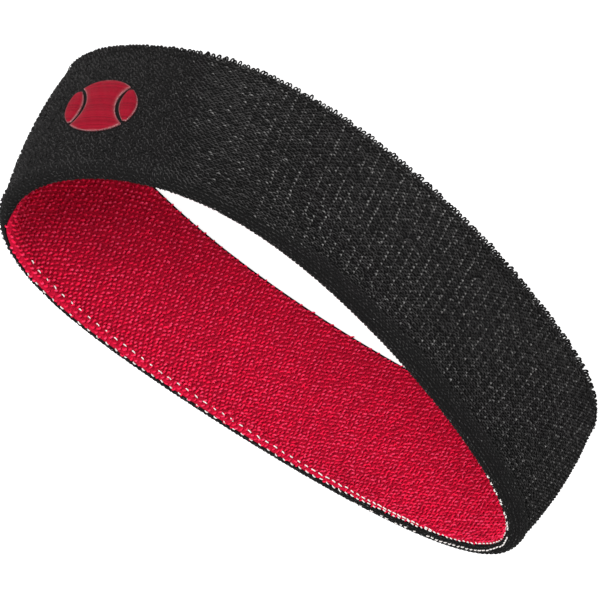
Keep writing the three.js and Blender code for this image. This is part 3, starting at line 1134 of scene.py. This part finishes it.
def emblem_panels(material):
    """The ball's right cap, centre and left cap. Each lies between two of the disc's rim and the
    seams, and the seams keep half a gap clear on either side."""

    def rim(up):
        """The ball's outline."""
        return disc_half_width(EMBLEM_RADIUS, up)

    def cap_side(up):
        """The inner side of the right cap."""
        return emblem_seam(up) + EMBLEM_SEAM_GAP / 2

    def centre_side(up):
        """The right side of the centre panel."""
        return np.minimum(emblem_seam(up) - EMBLEM_SEAM_GAP / 2, rim(up))

    def left_of(side_at):
        """The mirror image of a side."""
        return lambda up: -side_at(up)

    cap_tip = tip_height(lambda up: rim(up) - cap_side(up))
    centre_tip = tip_height(lambda up: 2 * centre_side(up))
    panels = (
        ("emblem_right_satin", "emblem_right_cap", cap_tip, cap_side, rim, SATIN_SLANT),
        ("emblem_centre_satin", "emblem_centre", centre_tip, left_of(centre_side), centre_side, 0.0),
        ("emblem_left_satin", "emblem_left_cap", cap_tip, left_of(rim), left_of(cap_side), -SATIN_SLANT),
    )
    for name, node, tip, left_at, right_at, slant in panels:
        satin_panel(name, node, tip, left_at, right_at, material, slant)


def elastic_yarn(number, material):
    """A ring of covered elastic: two shallow ridges of cosine shape wind round it, a turn every
    2.6 millimetres."""
    spacing = (BAND_HEIGHT - 2 * EDGE_YARN_HEIGHT) / (YARN_COUNT - 1)
    height = EDGE_YARN_HEIGHT + (number - 1) * spacing
    corners, rows = 8, 5 * YARN_WINDINGS
    t = even_angles(rows)[:, None]
    turn = np.linspace(0, TAU, rows, endpoint=False)[:, None] * YARN_WINDINGS
    angle = TAU * np.arange(corners) / corners
    radius = YARN_DIAMETER / 2 - YARN_GROOVE * (1 + np.cos(2 * angle + turn))
    points = wall(t, height + radius * np.sin(angle), YARN_OUT + radius * np.cos(angle))
    faces = ring_faces(rows, corners, True, True)
    row, column = grid_corners(rows, corners, True, True)
    yarn = np.stack((column / corners, row / rows * GIRTH / MM), axis=-1)
    bake = np.stack((row / rows, column / corners), axis=-1)
    name = f"covered_elastic_{number}"
    piece = make_piece(name, points, faces, material, {BAKE_MAP: bake, YARN_MAP: yarn})
    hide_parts(f"elastic_yarn_{number}")


def felt_backing(material):
    """A square of felt laid on the wall's curve behind the emblem, with softened edges."""
    half = EMBLEM_RADIUS + BACKING_MARGIN
    count = 41
    side = np.linspace(-half, half, count)
    up, along = np.meshgrid(side, side, indexing="ij")
    edge = np.maximum(np.abs(up), np.abs(along)) / half
    thin = BACKING_THICKNESS * 0.3 * smooth_step(0.93, 1, edge)
    t = angle_at(distance_at(EMBLEM_AT) + along)
    uneven = 0.02 * MM * np.sin(900 * up) * np.cos(1100 * along)
    front = wall(t, EMBLEM_HEIGHT + up, BACKING_OUT + BACKING_THICKNESS - thin + uneven)
    back = wall(t, EMBLEM_HEIGHT + up, BACKING_OUT + thin + uneven)
    points = np.concatenate((front, back[:, ::-1]), axis=1)

    def map_at(row, column):
        return np.stack((row / count, column / (2 * count + 4)), axis=-1)

    faces, bake = slab(count, count, (0, 0.99), map_at)
    piece = make_piece("felt_backing", points, faces, material, {BAKE_MAP: bake})
    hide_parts("emblem_backing")


# ---------------------------------------------------------------- floor, light and camera


TABLE_HALF_WIDTH = 4.0
TABLE_GLOW = 0.9
STUDIO_GLOW = 1.1
KEY_PLACE = (0.85, -0.95, 0.75)
KEY_TARGET = (0, 0, 0.02)
KEY_WIDTH = 0.9
KEY_POWER = 24
FOCAL_LENGTH = 150
SENSOR_WIDTH = 36
CAMERA_PLACE = Vector((92.03, -504.77, 448.93)) * MM
CAMERA_AHEAD = Vector((-0.15085, 0.75827, -0.63425))
CAMERA_RIGHT = Vector((-0.80527, -0.46640, -0.36608))


def add_floor(colour):
    """A wide pale table that glows a little, as a light table does."""
    mesh = bpy.data.meshes.new("floor")
    half = TABLE_HALF_WIDTH
    corners = [(-half, -half, 0), (half, -half, 0), (half, half, 0), (-half, half, 0)]
    mesh.from_pydata(corners, [], [(0, 1, 2, 3)])
    floor = bpy.data.objects.new("floor", mesh)
    bpy.context.scene.collection.objects.link(floor)
    g = Graph("pale_table")
    mesh.materials.append(
        g.finish(
            Base_Color=(*colour, 1.0),
            Roughness=0.9,
            Emission_Color=(1.0, 1.0, 1.0, 1.0),
            Emission_Strength=TABLE_GLOW,
            Specular_IOR_Level=0.0,
        )
    )


def add_lamp(name, place, target, width, power):
    """A round soft lamp that faces its target."""
    lamp = bpy.data.lights.new(name, "AREA")
    lamp.shape = "DISK"
    lamp.size = width
    lamp.energy = power
    holder = bpy.data.objects.new(name, lamp)
    bpy.context.scene.collection.objects.link(holder)
    holder.location = place
    holder.rotation_mode = "QUATERNION"
    holder.rotation_quaternion = (Vector(target) - Vector(place)).to_track_quat("-Z", "Y")


def add_camera():
    """A long lens above and in front of the band, rolled so that the looped edge is uppermost."""
    lens = bpy.data.cameras.new("camera")
    lens.lens = FOCAL_LENGTH
    lens.sensor_width = SENSOR_WIDTH
    lens.clip_start, lens.clip_end = 0.01, 20
    camera = bpy.data.objects.new("camera", lens)
    bpy.context.scene.collection.objects.link(camera)
    place = CAMERA_PLACE + Vector(OFFSET)
    back = -CAMERA_AHEAD.normalized()
    right = CAMERA_RIGHT.normalized()
    up = back.cross(right)
    camera.matrix_world = Matrix.Translation(place) @ Matrix((right, up, back)).transposed().to_4x4()
    bpy.context.scene.camera = camera


# ---------------------------------------------------------------- settings and operators

# Colours of the pale heads: on the black, painted glints and the odd bit of lint; on the red, painted
# highlights.
BLACK_GLINT_AND_LINT = (0.26, 0.255, 0.25, 1.0)
RED_PAINTED_HIGHLIGHT = (0.85, 0.055, 0.155, 1.0)


class HeadbandSizes(bpy.types.PropertyGroup):
    """Sizes of the pile that a user may change."""

    black_pitch: FloatProperty(
        name="Black Loop Pitch",
        description="Distance between neighbouring loops of the outer pile",
        default=1.35 * MM,
        unit="LENGTH",
    )
    red_pitch: FloatProperty(
        name="Red Loop Pitch",
        description="Distance between neighbouring loops of the inner pile",
        default=1.45 * MM,
        unit="LENGTH",
    )


def colour_property(name, description, default):
    """A colour that a user may change."""
    return FloatVectorProperty(
        name=name, description=description, default=default, subtype="COLOR", size=3, min=0, max=1
    )


class HeadbandColours(bpy.types.PropertyGroup):
    """Colours of the band's yarns and threads."""

    black: colour_property("Black Yarn", "Pile and ground of the outer ply", (0.013, 0.0125, 0.0125))
    red: colour_property("Red Yarn", "Pile and ground of the inner ply", (0.65, 0.0045, 0.041))
    thread: colour_property("Seam Thread", "Stitches at the sewn edge", (0.8, 0.77, 0.74))
    satin: colour_property("Emblem Thread", "Satin stitch of the emblem", (0.155, 0.0012, 0.009))
    elastic: colour_property("Elastic Cover", "Covered elastic yarns", (0.52, 0.48, 0.39))
    felt: colour_property("Backing Felt", "Felt behind the emblem", (0.75, 0.75, 0.72))
    table: colour_property("Table", "Floor under the band", (0.4, 0.4, 0.4))


def colours():
    """The scene's own settings of the colours."""
    return bpy.context.scene.headband_colours


def opaque(colour):
    """The colour with a full alpha."""
    return (*colour, 1.0)


class PieceOperator(bpy.types.Operator):
    """Shared settings of the operators below."""

    bl_options = {"REGISTER", "UNDO"}


class HEADBAND_OT_stage(PieceOperator):
    """Add the pale floor, soft studio light and the camera"""

    bl_idname = "headband.stage"
    bl_label = "Stage"

    def execute(self, context):
        add_floor(colours().table)
        world = bpy.data.worlds.new("studio")
        context.scene.world = world
        world.use_nodes = True
        backdrop = world.node_tree.nodes["Background"]
        backdrop.inputs["Color"].default_value = (1.0, 1.0, 1.0, 1.0)
        backdrop.inputs["Strength"].default_value = STUDIO_GLOW
        add_lamp("key", KEY_PLACE, KEY_TARGET, KEY_WIDTH, KEY_POWER)
        context.scene.view_settings.view_transform = "Standard"
        context.scene.view_settings.look = "None"
        add_camera()
        return {"FINISHED"}


class HEADBAND_OT_yarns(PieceOperator):
    """Wind the covered elastic yarns inside the wall"""

    bl_idname = "headband.yarns"
    bl_label = "Elastic Yarns"

    def execute(self, context):
        material = covered_elastic("elastic_cover", opaque(colours().elastic))
        for number in range(1, YARN_COUNT + 1):
            elastic_yarn(number, material)
        return {"FINISHED"}


class HEADBAND_OT_backing(PieceOperator):
    """Lay the felt behind the emblem"""

    bl_idname = "headband.backing"
    bl_label = "Felt Backing"

    def execute(self, context):
        felt_backing(pressed_felt("backing_felt", opaque(colours().felt)))
        return {"FINISHED"}


class HEADBAND_OT_emblem(PieceOperator):
    """Stitch the three satin panels of the ball emblem"""

    bl_idname = "headband.emblem"
    bl_label = "Emblem"

    def execute(self, context):
        emblem_panels(satin_thread("emblem_satin", opaque(colours().satin)))
        return {"FINISHED"}


class HEADBAND_OT_stitches(PieceOperator):
    """Sew the rows of stitches at the sewn edge"""

    bl_idname = "headband.stitches"
    bl_label = "Seam Stitches"

    def execute(self, context):
        seam_stitches(sewing_thread("seam_thread", opaque(colours().thread)))
        return {"FINISHED"}


class HEADBAND_OT_outer(PieceOperator):
    """Knit the black outer ply with its pile and the fringe of its looped edge"""

    bl_idname = "headband.outer"
    bl_label = "Outer Ply"

    def execute(self, context):
        black = opaque(colours().black)
        # The feet are painted dark as shade and the heads painted light as a highlight.
        yarn = pile_yarn("black_yarn", tinted(black, 0.15), tinted(black, 2.4), BLACK_GLINT_AND_LINT, 0.4)
        pile = [*black_pile(context.scene.headband_sizes, yarn), fringe_rings(yarn)]
        section = outer_section(even_angles(STATIONS))
        # The ground is painted darker than the pile yarn, as the shade under the loops.
        knit = ground_knit("black_ground", tinted(black, 0.1), tinted(black, 0.6))
        ply = make_ply("outer_ply", section, knit)
        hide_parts("outer_terry_ply")
        return {"FINISHED"}


class HEADBAND_OT_inner(PieceOperator):
    """Knit the red inner ply with its pile"""

    bl_idname = "headband.inner"
    bl_label = "Inner Ply"

    def execute(self, context):
        red = opaque(colours().red)
        # The feet are painted dark as shade and the heads painted light as a highlight.
        yarn = pile_yarn("red_yarn", tinted(red, 0.5), tinted(red, 1.15), RED_PAINTED_HIGHLIGHT, 0.3)
        pile = red_pile(context.scene.headband_sizes, yarn)
        section = inner_section(even_angles(STATIONS))
        # The ground is painted darker than the pile yarn, as the shade under the loops.
        knit = ground_knit("red_ground", tinted(red, 0.35), tinted(red, 0.7))
        ply = make_ply("inner_ply", section, knit)
        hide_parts("inner_terry_ply")
        return {"FINISHED"}


OPERATORS = (
    HEADBAND_OT_stage,
    HEADBAND_OT_yarns,
    HEADBAND_OT_backing,
    HEADBAND_OT_emblem,
    HEADBAND_OT_stitches,
    HEADBAND_OT_outer,
    HEADBAND_OT_inner,
)


class HEADBAND_PT_panel(bpy.types.Panel):
    """Lists the band's settings and pieces"""

    bl_label = "Terry Headband"
    bl_space_type = "VIEW_3D"
    bl_region_type = "UI"
    bl_category = "Headband"

    def draw(self, context):
        for group in (context.scene.headband_sizes, context.scene.headband_colours):
            for key in group.__annotations__:
                self.layout.prop(group, key)
        for operator in OPERATORS:
            self.layout.operator(operator.bl_idname)


CLASSES = (HeadbandSizes, HeadbandColours, *OPERATORS, HEADBAND_PT_panel)


def register():
    for cls in CLASSES:
        bpy.utils.register_class(cls)
    bpy.types.Scene.headband_sizes = PointerProperty(type=HeadbandSizes)
    bpy.types.Scene.headband_colours = PointerProperty(type=HeadbandColours)


def unregister():
    del bpy.types.Scene.headband_colours
    del bpy.types.Scene.headband_sizes
    for cls in reversed(CLASSES):
        bpy.utils.unregister_class(cls)


def main():
    register()
    for operator in OPERATORS:
        group, action = operator.bl_idname.split(".")
        getattr(getattr(bpy.ops, group), action)()


if __name__ == "__main__":
    main()
